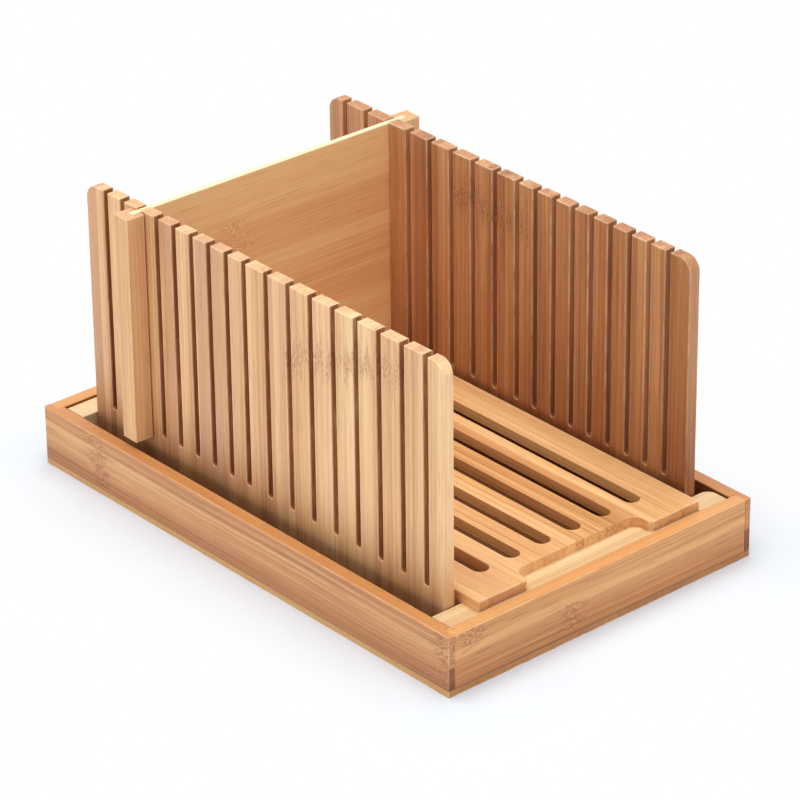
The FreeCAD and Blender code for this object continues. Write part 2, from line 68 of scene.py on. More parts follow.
def calc(tree, operation, first, second=0.0, clamp=False):
    """The result of one Math node."""
    node = place(tree, "ShaderNodeMath", operation=operation, use_clamp=clamp)
    feed(tree, node.inputs[0], first)
    feed(tree, node.inputs[1], second)
    return node.outputs[0]


def calc3(tree, operation, first, second):
    """The result of one Vector Math node."""
    node = place(tree, "ShaderNodeVectorMath", operation=operation)
    feed(tree, node.inputs[0], first)
    feed(tree, node.inputs[1], second)
    return node.outputs[0]


def join(tree, x, y, z):
    """A vector from its three parts."""
    node = place(tree, "ShaderNodeCombineXYZ")
    for socket, value in zip(node.inputs, (x, y, z)):
        feed(tree, socket, value)
    return node.outputs[0]


def split(tree, vector):
    """The three parts of a vector."""
    node = place(tree, "ShaderNodeSeparateXYZ")
    feed(tree, node.inputs[0], vector)
    return node.outputs


def noise(tree, at, detail=2.0, roughness=0.5):
    """A noise value of about 0.5, give or take 0.2, for places that are already scaled."""
    node = place(tree, "ShaderNodeTexNoise", noise_dimensions="3D")
    feed(tree, node.inputs["Vector"], at)
    node.inputs["Scale"].default_value = 1.0
    node.inputs["Detail"].default_value = detail
    node.inputs["Roughness"].default_value = roughness
    return node.outputs["Fac"]


def ramp(tree, value, low, high, smooth=False):
    """0 at low and 1 at high, and held there beyond them. low may be the larger."""
    node = place(tree, "ShaderNodeMapRange", clamp=True)
    node.interpolation_type = "SMOOTHSTEP" if smooth else "LINEAR"
    feed(tree, node.inputs["Value"], value)
    feed(tree, node.inputs["From Min"], low)
    feed(tree, node.inputs["From Max"], high)
    return node.outputs["Result"]


def tint(tree, share, under, over, blend="MIX"):
    """The colour under, covered with the colour over by share."""
    node = place(tree, "ShaderNodeMix", data_type="RGBA", blend_type=blend, clamp_factor=True)
    feed(tree, node.inputs[0], share)
    feed(tree, node.inputs[6], under)
    feed(tree, node.inputs[7], over)
    return node.outputs[2]


def open_group(name, sockets_in, sockets_out):
    """A new shader node group with named sockets, and its input and output nodes."""
    group = bpy.data.node_groups.new(name, "ShaderNodeTree")
    for label, kind, value in sockets_in:
        socket = group.interface.new_socket(label, in_out="INPUT", socket_type="NodeSocket" + kind)
        if value is not None:
            socket.default_value = value
    for label, kind in sockets_out:
        group.interface.new_socket(label, in_out="OUTPUT", socket_type="NodeSocket" + kind)
    return group, place(group, "NodeGroupInput").outputs, place(group, "NodeGroupOutput").inputs


def laminated_bamboo():
    """Bamboo strips glued side by side. The place is (along the grain, across the board's face,
    through the board), in metres, so the same strips run through the board and show their ends
    as speckled end grain. Puts out the colour, the roughness and the height of the grain."""
    group, given, put = open_group("laminated bamboo", [
        ("Place", "Vector", None),
        ("Strip Width", "Float", 0.02),
        ("Band Width", "Float", 0.006),
        ("Seed", "Float", 0.0),
        ("Knuckles", "Float", 0.6),
        ("Knuckle Spacing", "Float", 0.25),
        ("Knuckle Offset", "Float", 0.0),
        ("Knuckle Scatter", "Float", 1.0),
        ("Knuckle Slant", "Float", 0.0),
        ("Knuckle Length", "Float", 0.0115),
        ("Knuckles From", "Float", -1.0),
        ("Knuckles To", "Float", 1.0),
        ("Contrast", "Float", 1.0),
        ("Pale", "Color", srgb("f3cf9e")),
        ("Honey", "Color", srgb("dcaa78")),
        ("Umber", "Color", srgb("b07a50")),
        ("Blush", "Color", srgb("cf9a72")),
    ], [("Color", "Color"), ("Roughness", "Float"), ("Height", "Float")])
    along, straight_across, through = split(group, given["Place"])
    seed = given["Seed"]

    # the fibres wander a little from side to side along the board
    drift = noise(group, join(group, calc(group, "MULTIPLY", along, 5.0), seed, 0.0), 1.0)
    wander = calc(group, "MULTIPLY", calc(group, "SUBTRACT", drift, 0.5), 0.004)
    across = calc(group, "ADD", straight_across, wander)

    def grain(lengthwise, crosswise, shift, detail=2.0, roughness=0.5):
        """Noise drawn out along the grain: lengthwise and crosswise are changes per metre."""
        return noise(group, join(
            group,
            calc(group, "ADD", calc(group, "MULTIPLY", along, lengthwise), shift),
            calc(group, "ADD", calc(group, "MULTIPLY", across, crosswise), seed),
            calc(group, "ADD", calc(group, "MULTIPLY", through, crosswise), shift),
        ), detail, roughness)

    def chances(width, shift):
        """Three random numbers for each strip or band of the given width."""
        strips = calc(group, "ADD", calc(group, "DIVIDE", across, width), seed)
        number = calc(group, "FLOOR", strips)
        node = place(group, "ShaderNodeTexWhiteNoise", noise_dimensions="2D")
        draw = join(group, number, calc(group, "ADD", seed, shift), 0.0)
        feed(group, node.inputs["Vector"], draw)
        return split(group, node.outputs["Color"])

    strip_tone, strip_shift, strip_hue = chances(given["Strip Width"], 0.0)
    band_tone, band_hue, _ = chances(given["Band Width"], 3.7)

    cloud = grain(5.0, 40.0, 11.0, 1.0)
    streak = grain(3.0, 480.0, 23.0, 3.0, 0.65)
    fibre = grain(14.0, 1500.0, 37.0, 2.0, 0.6)
    fleck = ramp(group, grain(40.0, 1300.0, 51.0, 1.0), 0.60, 0.74)

    # knuckles: a band across the strip every so often, broken up into short dashes. From and To
    # are the outermost strips that show them, and with a slant the next strip's is further along
    row = calc(group, "ADD", calc(group, "ADD", along, given["Knuckle Offset"]),
               calc(group, "MULTIPLY", across, given["Knuckle Slant"]))
    turn = calc(group, "ADD", calc(group, "DIVIDE", row, given["Knuckle Spacing"]),
                calc(group, "MULTIPLY", strip_shift, given["Knuckle Scatter"]))
    away = calc(group, "MULTIPLY", given["Knuckle Spacing"],
                calc(group, "ABSOLUTE", calc(group, "SUBTRACT", calc(group, "FRACT", turn), 0.5)))
    uneven = calc(group, "SUBTRACT", grain(50.0, 300.0, 71.0), 0.47)
    ragged = calc(group, "MULTIPLY", uneven, 0.045)
    after_first = calc(group, "SUBTRACT", across, given["Knuckles From"])
    before_last = calc(group, "SUBTRACT", given["Knuckles To"], across)
    within = calc(group, "MULTIPLY", ramp(group, after_first, -0.001, 0.001),
                  ramp(group, before_last, -0.001, 0.001))
    band = ramp(group, calc(group, "ADD", away, ragged), given["Knuckle Length"], 0.0, smooth=True)
    knuckle = calc(group, "MULTIPLY", calc(group, "MULTIPLY", given["Knuckles"], within), band)
    dash = grain(420.0, 1100.0, 83.0, 1.0)
    dark_dash = calc(group, "MULTIPLY", knuckle, ramp(group, dash, 0.55, 0.66))
    light_dash = calc(group, "MULTIPLY", knuckle, ramp(group, dash, 0.45, 0.34))

    def push(value, weight):
        """How far a value pushes the tone up or down."""
        return calc(group, "MULTIPLY", calc(group, "SUBTRACT", value, 0.5), weight)

    tone = 0.0
    for value, weight in ((strip_tone, 0.28), (band_tone, 0.34), (cloud, 0.8), (streak, 1.25),
                          (fibre, 0.8)):
        tone = calc(group, "ADD", tone, push(value, weight))
    tone = calc(group, "ADD", calc(group, "MULTIPLY", tone, given["Contrast"]), 0.58, clamp=True)
    colour = tint(group, ramp(group, tone, 0.0, 0.5), given["Umber"], given["Honey"])
    colour = tint(group, ramp(group, tone, 0.5, 1.0), colour, given["Pale"])
    rosy = calc(group, "MULTIPLY", ramp(group, strip_hue, 0.4, 0.9),
                ramp(group, band_hue, 0.1, 0.7))
    colour = tint(group, calc(group, "MULTIPLY", rosy, 0.75), colour, given["Blush"])
    colour = tint(group, calc(group, "MULTIPLY", fleck, 0.4), colour, given["Umber"])
    colour = tint(group, calc(group, "MULTIPLY", knuckle, 0.6), colour, given["Blush"])
    colour = tint(group, calc(group, "MULTIPLY", dark_dash, 0.7), colour, given["Umber"])
    colour = tint(group, calc(group, "MULTIPLY", light_dash, 0.7), colour, given["Pale"])
    feed(group, put["Color"], colour)

    dull = calc(group, "ADD", calc(group, "MULTIPLY", fibre, 0.25), 0.34)
    feed(group, put["Roughness"], calc(group, "ADD", dull, calc(group, "MULTIPLY", knuckle, 0.1)))
    height = calc(group, "ADD", calc(group, "MULTIPLY", streak, 0.5),
                  calc(group, "MULTIPLY", fibre, 0.7))
    height = calc(group, "SUBTRACT", height, calc(group, "MULTIPLY", fleck, 0.25))
    height = calc(group, "SUBTRACT", height, calc(group, "MULTIPLY", dark_dash, 0.3))
    feed(group, put["Height"], height)
    return group


def handled_and_highlighted_surface():
    """What use does to a sanded board, with painted highlights. The three gaps are a point's
    distances from the board's sides: a point on one side is near an edge where its second smallest
    gap is small.
    Edges are lighter, with breaks in them, partly from use and partly as painted highlight; end
    grain takes more oil, and joints are dark lines."""
    group, given, put = open_group("handled and highlighted surface", [
        ("Color", "Color", srgb("dcaa78")),
        ("Place", "Vector", None),
        ("Gaps", "Vector", None),
        ("End Gap", "Float", 1.0),
        ("Joint Gap", "Float", 1.0),
        ("Edge Width", "Float", 0.0009),
        ("Edge Wear And Highlight", "Float", 0.5),
        ("Edge Color", "Color", srgb("ffe3b8")),
        ("End Oil", "Float", 0.5),
        ("End Color", "Color", srgb("b5764c")),
        ("Joint Line", "Float", 0.35),
    ], [("Color", "Color")])
    a, b, c = split(group, given["Gaps"])
    second = calc(group, "MAXIMUM", calc(group, "MINIMUM", a, b),
                  calc(group, "MINIMUM", calc(group, "MAXIMUM", a, b), c))
    breaks = noise(group, calc3(group, "MULTIPLY", given["Place"], (90.0, 90.0, 90.0)), 3.0)
    # edges lighter towards Edge Color: partly scuffing from use, partly painted highlight
    lit_rubbed_edge = calc(group, "MULTIPLY", ramp(group, second, given["Edge Width"], 0.0),
                  calc(group, "MULTIPLY", given["Edge Wear And Highlight"], ramp(group, breaks, 0.3, 0.62)))
    end = calc(group, "MULTIPLY", given["End Oil"], ramp(group, given["End Gap"], 0.0004, 0.0001))
    colour = tint(group, end, given["Color"], given["End Color"], "MULTIPLY")
    colour = tint(group, lit_rubbed_edge, colour, given["Edge Color"])
    line = calc(group, "MULTIPLY", given["Joint Line"],
                ramp(group, given["Joint Gap"], 0.0005, 0.0001))
    feed(group, put["Color"], tint(group, line, colour, srgb("6e4326")))
    return group


BAMBOO = laminated_bamboo()
HANDLED_AND_HIGHLIGHTED = handled_and_highlighted_surface()
OIL_COAT = 0.1                   # how strong the thin coat of oil is
GRAIN_RELIEF = 0.00012           # height of the grain felt on a sanded board


def place_group(tree, group, **values):
    """Places a group in a material and gives it its inputs, from words such as strip_width=0.02."""
    node = place(tree, "ShaderNodeGroup", node_tree=group)
    for label, value in values.items():
        feed(tree, node.inputs[label.replace("_", " ").title()], value)
    return node.outputs


def new_finish(name):
    """A new material with its tree and its shader, oiled and slightly shiny."""
    material = bpy.data.materials.new(name)
    material.use_nodes = True
    shader = material.node_tree.nodes["Principled BSDF"]
    shader.inputs["Coat Weight"].default_value = OIL_COAT
    shader.inputs["Coat Roughness"].default_value = 0.35
    return material, material.node_tree, shader


def centred(tree, centre, turn=0.0):
    """The place on the piece, measured from its centre and along its own turned sides."""
    where = place(tree, "ShaderNodeTexCoord")
    mapping = place(tree, "ShaderNodeMapping", vector_type="TEXTURE")
    tree.links.new(where.outputs["Object"], mapping.inputs["Vector"])
    mapping.inputs["Location"].default_value = centre
    mapping.inputs["Rotation"].default_value = (0.0, 0.0, turn)
    return mapping.outputs[0]


def lay_bamboo(tree, shader, spot, grain, look):
    """The bamboo itself, with its grain along the first of the three axes in grain. It drives
    the roughness and the relief, and its colour is returned to be finished."""
    axes = split(tree, spot)
    turned = join(tree, *[axes[letter] for letter in grain])
    wood = place_group(tree, BAMBOO, place=turned, **look)
    tree.links.new(wood["Roughness"], shader.inputs["Roughness"])
    bump = place(tree, "ShaderNodeBump")
    bump.inputs["Distance"].default_value = GRAIN_RELIEF
    bump.inputs["Strength"].default_value = 0.6
    tree.links.new(wood["Height"], bump.inputs["Height"])
    tree.links.new(bump.outputs["Normal"], shader.inputs["Normal"])
    return wood["Color"]


def finish_node(node, material):
    """Puts a material into every slot of a CAD node."""
    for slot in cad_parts[node].material_slots:
        slot.material = material


def board(node, grain, look, glued=(), use=None, size=None, turn=0.0, touch=None):
    """The finish of one square-edged board. grain names its axes along, across and through the
    grain. glued names the sides, such as "-Z", that meet another board flush. size is given only
    for a board that stands askew. touch may change the colour last, given the place and gaps."""
    low, high = (np.array(corner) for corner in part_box(node))
    centre, half = (low + high) / 2, (high - low) / 2
    if size is not None:
        half = np.array(size) / 2
    material, tree, shader = new_finish(node.replace("_", " ") + " bamboo")
    spot = centred(tree, tuple(centre), turn)
    colour = lay_bamboo(tree, shader, spot, grain, look)

    def gaps_inside(sides):
        """Distances to the nearest of the given sides along each axis, 1 m where there is none."""
        lower = [half[at] if "-" + axis in sides else 1.0 for at, axis in enumerate("XYZ")]
        upper = [half[at] if "+" + axis in sides else 1.0 for at, axis in enumerate("XYZ")]
        return calc3(tree, "MINIMUM", calc3(tree, "ADD", spot, lower),
                     calc3(tree, "SUBTRACT", upper, spot))

    every = [sign + axis for axis in "XYZ" for sign in "-+"]
    gaps = gaps_inside([side for side in every if side not in glued])
    a, b, c = split(tree, gaps_inside(glued))
    joint_gap = calc(tree, "MINIMUM", calc(tree, "MINIMUM", a, b), c)
    end_gap = split(tree, gaps)[grain[0]]
    colour = place_group(tree, HANDLED_AND_HIGHLIGHTED, color=colour, place=spot, gaps=gaps, end_gap=end_gap,
                         joint_gap=joint_gap, **(use or {}))["Color"]
    if touch is not None:
        colour = touch(tree, spot, gaps, colour)
    tree.links.new(colour, shader.inputs["Base Color"])
    finish_node(node, material)


TRAY = dict(strip_width=0.0155, band_width=0.0042, knuckles=1.0, knuckle_length=0.015,
            pale=srgb("e7b47c"), honey=srgb("c98d58"), umber=srgb("8c5833"),
            blush=srgb("bb7b52"), contrast=1.15)
# INNER_SHADE darkens the tray's inner sides: painted shade.
INNER_SHADE = srgb("c4ae9a")
# RIM_SHADE_ORANGE tints the side boards' rims: painted shade and warm light reflected from the
# walls.
RIM_SHADE_ORANGE = srgb("d9924e")
BOARD_HALF_THICK = 0.004
# heights from the middle of a board; from DARKENS_FROM down to BOARD_FOOT the boards grow darker,
# as painted shade
DARKENS_FROM, BOARD_FOOT = 0.004, -0.0157
END_STAIN_FROM, END_STAIN_FULL = -0.0020, -0.0032


def tray_wear_and_shade():
    """The tray's boards: they grow darker downwards and on their inner sides, as painted shade, and
    their rims take an orange tint, painted shade and warm light reflected from the walls. End Stain
    is for the side boards' end grain, which oil has darkened at its foot."""
    group, given, put = open_group("tray wear", [
        ("Color", "Color", srgb("c98d58")),
        ("Place", "Vector", None),
        ("Gaps", "Vector", None),
        ("Inner Gap", "Float", 1.0),
        ("End Stain", "Float", 0.0),
        ("Rim Color", "Color", RIM_SHADE_ORANGE),
    ], [("Color", "Color")])
    height = split(group, given["Place"])[2]
    _, length_gap, top_gap = split(group, given["Gaps"])
    end = calc(group, "MULTIPLY", given["End Stain"], ramp(group, length_gap, 0.0005, 0.0002))
    end = calc(group, "MULTIPLY", end, ramp(group, height, END_STAIN_FROM, END_STAIN_FULL))
    colour = tint(group, end, given["Color"], srgb("cbaf96"), "MULTIPLY")
    # painted shade: darker towards the foot
    low = ramp(group, height, DARKENS_FROM, BOARD_FOOT, smooth=True)
    colour = tint(group, calc(group, "MULTIPLY", low, 0.8), colour, srgb("e2cfbe"), "MULTIPLY")
    # painted shade on the boards' inner sides
    inside = ramp(group, given["Inner Gap"], 0.0006, 0.0002)
    colour = tint(group, inside, colour, INNER_SHADE, "MULTIPLY")
    # an orange tint on the rims: painted shade and warm light reflected from the walls
    rim = ramp(group, top_gap, 0.0008, 0.0003)
    colour = tint(group, calc(group, "MULTIPLY", rim, 0.55), colour, given["Rim Color"])
    feed(group, put["Color"], colour)
    return group


TRAY_WEAR_AND_SHADE = tray_wear_and_shade()


def worn_and_shaded(axis, inner_sign, **wear_and_shade):
    """The touch for a tray board whose inner side faces along axis, the way of inner_sign."""
    def touch(tree, spot, gaps, colour):
        """Places the tray's end stain and painted shade, with the distance from the board's inner
        side.
        """
        inwards = calc(tree, "MULTIPLY", split(tree, spot)[axis], inner_sign)
        inner_gap = calc(tree, "SUBTRACT", BOARD_HALF_THICK, inwards)
        return place_group(tree, TRAY_WEAR_AND_SHADE, color=colour, place=spot, gaps=gaps,
                           inner_gap=inner_gap, **wear_and_shade)["Color"]
    return touch


# The side boards are darker towards their foot and inside, as painted shade, and their rims take a
# painted orange tint.
for node, seed, offset, inner_sign in (("tray_side_left", 9.2, 0.015, 1),
                                       ("tray_side_right", 8.9, 0.06, -1)):
    board(node, "YZX", dict(
        TRAY, seed=seed, knuckle_spacing=0.286, knuckle_scatter=0.04, knuckle_offset=offset),
        glued=("-Z",), use=dict(edge_wear_and_highlight=0.65, end_oil=0.1),
        touch=worn_and_shaded("X", inner_sign, end_stain=1.0, rim_color=RIM_SHADE_ORANGE))


# ==== Crumb tray: the end boards ======================================================
# Two short end boards of the same bamboo, let into the side boards' rabbets and glued, so
# their joints show as thin upright lines near the corners.

# The end boards take the same painted shade, and a lighter painted orange on their rims.
for node, seed, offset, inner_sign in (("tray_end_front", 18.8, 0.1814, 1),
                                       ("tray_end_rear", 14.6, 0.08, -1)):
    board(node, "XZY", dict(
        TRAY, seed=seed, knuckle_spacing=0.25, knuckle_scatter=1.514, knuckle_offset=offset,
        knuckles_from=-0.0125, pale=srgb("e9b276"), honey=srgb("ce9054")),
        glued=("-Z", "-X", "+X"), use=dict(edge_wear_and_highlight=0.65),
        touch=worn_and_shaded("Y", inner_sign, rim_color=srgb("f2ad66")))


# ==== Crumb tray: the bottom panel ====================================================
# A 4 mm bamboo panel glued under the four boards, with its edge flush all round.
# It is a shade yellower than the boards, and its edge shows as a thin strip.

PANEL_HALF_THICK = 0.002


def shaded_upside(tree, spot, gaps, colour):
    """The panel's upper side, darkened as painted shade inside the tray."""
    depth = calc(tree, "SUBTRACT", PANEL_HALF_THICK, split(tree, spot)[2])
    return tint(tree, ramp(tree, depth, 0.0004, 0.0001), colour, INNER_SHADE, "MULTIPLY")


board("tray_bottom", "YXZ", dict(
    seed=21.0, strip_width=0.02, band_width=0.01, knuckles=0.4, contrast=0.8,
    pale=srgb("d9ae6d"), honey=srgb("c69459"), umber=srgb("a2713e"), blush=srgb("c48e56")),
    glued=("+Z",), use=dict(end_oil=0.45), touch=shaded_upside)


# ==== Slicer base: the crossbars ======================================================
# Two pale bamboo bars that drop into the tray and carry everything above it. Each has one
# rounded corner and four countersunk screw holes. The grate is glued on top of them.

PALE = dict(strip_width=0.02, band_width=0.006, contrast=0.75, knuckles=0.2,
            pale=srgb("f8e0b2"), honey=srgb("ecca96"), umber=srgb("cc9f68"), blush=srgb("e4bc8a"))
for node, seed in (("crossbar_front", 31.2), ("crossbar_rear", 33.8)):
    board(node, "XYZ", dict(PALE, seed=seed))


# ==== Slicer base: the comb walls =====================================================
# Two laminated bamboo boards on edge, grain upright, with seventeen saw slots each for the
# knife. The right one is the left one turned round. Screwed to the crossbars by their ends.
# The saw leaves the slots' sides scorched and rough. Their feet are darker, as painted shade.

WALL_AWAY = 0.0855               # the wall's middle, from the object's middle
WALL_HALF_THICK = 0.0036
WALL_HALF_LONG = 0.1435
WALL_TOP = 0.174
CORNER = 0.008                   # radius of the rounded top corners
SLOT_HALF = 0.0019
SLOT_CENTRE_LOW = 0.0442         # centre of a slot's round bottom
WIDE_FIRST, WIDE_STEP = -0.1302, 0.0177
NARROW_FIRST, NARROW_STEP = 0.0114, 0.01445
NARROW_SLOTS = 9


def comb_gaps():
    """A point's distances from the wall's faces, from the nearest slot, from its outline and
    from its top. A slot is the strip within half a slot's width of its centre line, with a round
    bottom: the distance to it is the length of (distance from the line, distance below the round
    bottom's centre), less half the width. The outline is a box with rounded upper corners."""
    group, given, put = open_group("comb wall gaps", [("Place", "Vector", None)], [
        ("Face Gap", "Float"), ("Slot Gap", "Float"), ("Rim Gap", "Float"), ("Top Gap", "Float")])
    x, y, z = split(group, given["Place"])
    out_y = calc(group, "ABSOLUTE", y)

    def from_line(first, step):
        """Distance from the nearest of a row of slots' centre lines."""
        steps = calc(group, "DIVIDE", calc(group, "SUBTRACT", y, first), step)
        part = calc(group, "SUBTRACT", steps, calc(group, "ROUND", steps))
        return calc(group, "MULTIPLY", calc(group, "ABSOLUTE", part), step)

    def length(across, upwards):
        """The length of a line by Pythagoras."""
        node = place(group, "ShaderNodeVectorMath", operation="LENGTH")
        feed(group, node.inputs[0], join(group, across, upwards, 0.0))
        return node.outputs["Value"]

    # past the last slot the distance goes on growing
    last_narrow = NARROW_FIRST + (NARROW_SLOTS - 1) * NARROW_STEP
    narrow = calc(group, "MAXIMUM", from_line(NARROW_FIRST, NARROW_STEP),
                  calc(group, "SUBTRACT", y, last_narrow + NARROW_STEP / 2))
    line = place(group, "ShaderNodeMix", data_type="FLOAT")
    feed(group, line.inputs[0], calc(group, "GREATER_THAN", y, NARROW_FIRST))
    feed(group, line.inputs[2], from_line(WIDE_FIRST, WIDE_STEP))
    feed(group, line.inputs[3], narrow)
    below = calc(group, "MAXIMUM", calc(group, "SUBTRACT", SLOT_CENTRE_LOW, z), 0.0)
    past_y = calc(group, "MAXIMUM", calc(group, "SUBTRACT", out_y, WALL_HALF_LONG - CORNER), 0.0)
    past_z = calc(group, "MAXIMUM", calc(group, "SUBTRACT", z, WALL_TOP - CORNER), 0.0)
    out_x = calc(group, "ABSOLUTE", x)
    from_slot = length(line.outputs[0], below)
    feed(group, put["Face Gap"], calc(group, "SUBTRACT", WALL_HALF_THICK, out_x))
    feed(group, put["Slot Gap"], calc(group, "SUBTRACT", from_slot, SLOT_HALF))
    feed(group, put["Rim Gap"], calc(group, "SUBTRACT", CORNER, length(past_y, past_z)))
    feed(group, put["Top Gap"], calc(group, "SUBTRACT", WALL_TOP, z))
    return group


def comb_wear_and_shade():
    """The sides of the saw slots are scorched, and the foot is darker up to Shade Top, as painted
    shade. From Dark From on, the board is darker. Sawn is 1 inside a slot."""
    group, given, put = open_group("comb wall wear", [
        ("Color", "Color", srgb("e6b27e")),
        ("Place", "Vector", None),
        ("Face Gap", "Float", 0.0),
        ("Slot Gap", "Float", 1.0),
        ("Saw Color", "Color", srgb("be9e88")),
        ("Shade Top", "Float", 0.085),
        ("Dark From", "Float", 1.0),
    ], [("Color", "Color"), ("Sawn", "Float")])
    _, y, z = split(group, given["Place"])
    sawn = calc(group, "MULTIPLY", ramp(group, given["Slot Gap"], 0.0004, 0.0001),
                ramp(group, given["Face Gap"], 0.0002, 0.0012))
    scorch = noise(group, calc3(group, "MULTIPLY", given["Place"], (900.0, 900.0, 60.0)), 2.0)
    share = calc(group, "MULTIPLY", sawn, ramp(group, scorch, 0.1, 0.5))
    colour = tint(group, share, given["Color"], given["Saw Color"], "MULTIPLY")
    last_strip = ramp(group, y, given["Dark From"], calc(group, "ADD", given["Dark From"], 0.0003))
    colour = tint(group, last_strip, colour, srgb("e5ddd8"), "MULTIPLY")
    # painted shade: the foot darker up to Shade Top
    foot = ramp(group, z, given["Shade Top"], 0.0, smooth=True)
    feed(group, put["Color"], tint(group, foot, colour, srgb("c0a893"), "MULTIPLY"))
    feed(group, put["Sawn"], sawn)
    return group


COMB_GAPS = comb_gaps()
COMB_WEAR_AND_SHADE = comb_wear_and_shade()


def comb_finish(side, turn, look, use, wear_and_shade):
    """The bamboo of one comb wall: its grain, then its lightened slat edges with their painted
    highlight, then its slots, which are as rough as the saw leaves them and have no oil, and the
    painted shade at its foot."""
    material, tree, shader = new_finish(f"{side} comb wall bamboo")
    away = WALL_AWAY if side == "right" else -WALL_AWAY
    spot = centred(tree, (away, 0.0, 0.0), turn)
    colour = lay_bamboo(tree, shader, spot, "ZYX", look)
    gap = place_group(tree, COMB_GAPS, place=spot)
    sides = join(tree, gap["Face Gap"], gap["Slot Gap"], gap["Rim Gap"])
    colour = place_group(tree, HANDLED_AND_HIGHLIGHTED, color=colour, place=spot, gaps=sides,
                         end_gap=gap["Top Gap"], **use)["Color"]
    scorched_shaded_comb = place_group(tree, COMB_WEAR_AND_SHADE, color=colour, place=spot, face_gap=gap["Face Gap"],
                            slot_gap=gap["Slot Gap"], **wear_and_shade)
    smooth = shader.inputs["Roughness"].links[0].from_socket
    feed(tree, shader.inputs["Roughness"], calc(tree, "MAXIMUM", smooth, scorched_shaded_comb["Sawn"]))
    oiled = calc(tree, "SUBTRACT", 1.0, scorched_shaded_comb["Sawn"])
    feed(tree, shader.inputs["Coat Weight"], calc(tree, "MULTIPLY", oiled, OIL_COAT))
    tree.links.new(scorched_shaded_comb["Color"], shader.inputs["Base Color"])
    for end in ("front", "rear"):
        finish_node(f"wall_{side}_{end}", material)


WALL = dict(strip_width=0.0197, band_width=0.0049, knuckle_spacing=0.3, knuckle_scatter=0.05,
            knuckle_length=0.015, knuckles=1.0)
comb_finish("left", 0.0, dict(
    WALL, seed=41.4, knuckle_offset=0.017, knuckle_slant=0.3, knuckles_from=-0.112,
    knuckles_to=-0.02, contrast=0.85, pale=srgb("fcd5a2"), honey=srgb("e6b27e"),
    umber=srgb("ac744c"), blush=srgb("cd9770")),
    use=dict(edge_wear_and_highlight=0.5, end_oil=0.0), wear_and_shade=dict(saw_color=srgb("be9e88"), shade_top=0.085))
# The right wall's colours are darker and redder than the left's: partly its own tone, partly
# painted shade of the channel's inner side, and its painted foot shade reaches higher.
comb_finish("right", math.pi, dict(
    WALL, seed=57.7, knuckle_offset=-0.0045, knuckles_from=-0.044, knuckles_to=0.02, contrast=1.0,
    pale=srgb("e0ab79"), honey=srgb("c28556"), umber=srgb("8d5836"), blush=srgb("b17450")),
    use=dict(edge_wear_and_highlight=0.6, edge_width=0.001, end_oil=0.08),
    wear_and_shade=dict(saw_color=srgb("f0e8ea"), shade_top=0.13, dark_from=0.1225))


# ==== Slicer base: the crumb grate ====================================================
# A 6 mm bamboo board with long round-ended slots that let the crumbs through, and a finger
# notch in its front edge. The loaf stands on it.

board("crumb_grate", "YXZ", dict(
    seed=63.0, strip_width=0.0215, band_width=0.006, knuckles=0.3, knuckle_spacing=0.35,
    pale=srgb("fad095"), honey=srgb("e6ae72"), umber=srgb("b57840"), blush=srgb("d99b65")),
    use=dict(end_oil=0.35))


# ==== Slicer base: the wall screws ====================================================
# Eight zinc-plated countersunk wood screws, hidden below the tray's rim. They are driven
# through the crossbars into the ends of the walls.

def zinc_plate():
    """Bright zinc with faint marks across each screw."""
    material = bpy.data.materials.new("zinc plate")
    material.use_nodes = True
    tree = material.node_tree
    shader = tree.nodes["Principled BSDF"]
    spot = centred(tree, (0.0, 0.0, 0.0))
    rings = noise(tree, calc3(tree, "MULTIPLY", spot, (0.0, 4000.0, 0.0)))
    blotches = noise(tree, calc3(tree, "MULTIPLY", spot, (500.0, 500.0, 500.0)))
    rough = calc(tree, "ADD", calc(tree, "MULTIPLY", rings, 0.3), 0.15)
    feed(tree, shader.inputs["Roughness"], rough)
    feed(tree, shader.inputs["Base Color"], tint(tree, blotches, srgb("b3b8bc"), srgb("e0e1de")))
    shader.inputs["Metallic"].default_value = 1.0
    return material


finish_node("wall_screws", zinc_plate())


# ==== Stop: the plate =================================================================
# A thin bamboo plate, grain across, that stands in one slot of each wall, slightly askew.
# Its top edge is pale cream.

STOP_TURN = math.radians(-1.106)
PLATE_SIZE = (0.18946, 0.0034, 0.12959)


def pale_top(tree, spot, gaps, colour):
    """Covers the plate's top edge with a pale cream."""
    top_gap = calc(tree, "SUBTRACT", PLATE_SIZE[2] / 2, split(tree, spot)[2])
    share = calc(tree, "MULTIPLY", 0.9, ramp(tree, top_gap, 0.0006, 0.0003))
    return tint(tree, share, colour, srgb("f6e6bc"))


board("stop_plate", "XZY", dict(
    seed=71.3, strip_width=0.024, band_width=0.0075, knuckle_spacing=0.3, knuckle_offset=0.177,
    knuckle_scatter=0.0, knuckle_length=0.016, knuckles_from=0.014, knuckles_to=0.040,
    knuckles=1.0, contrast=0.62,
    pale=srgb("ffdba0"), honey=srgb("f6c085"), umber=srgb("ca8c56"), blush=srgb("ebae76")),
    size=PLATE_SIZE, turn=STOP_TURN, touch=pale_top)


# ==== Stop: the posts =================================================================
# Two square bamboo posts outside the walls, each with a groove that the plate's end is glued
# into. They keep the plate upright and are what the hand takes hold of.

POST_SIZE = (0.0115, 0.0115, 0.1331)
for node, seed in (("stop_post_left", 83.9), ("stop_post_right", 87.2)):
    board(node, "ZXY", dict(
        seed=seed, strip_width=0.03, band_width=0.0058, knuckle_spacing=0.4, knuckle_offset=0.218,
        knuckle_scatter=0.0, knuckles_from=0.0008, knuckles=0.8, contrast=0.8,
        pale=srgb("f6ca94"), honey=srgb("e2af7a"), umber=srgb("b07c4c"), blush=srgb("d6a172")),
        use=dict(end_oil=0.1), size=POST_SIZE, turn=STOP_TURN)


# ==== The table, the light and the camera =============================================
# A plain white table in a white room, with a broad lamp overhead and two low pale reflectors,
# on the left and in front.

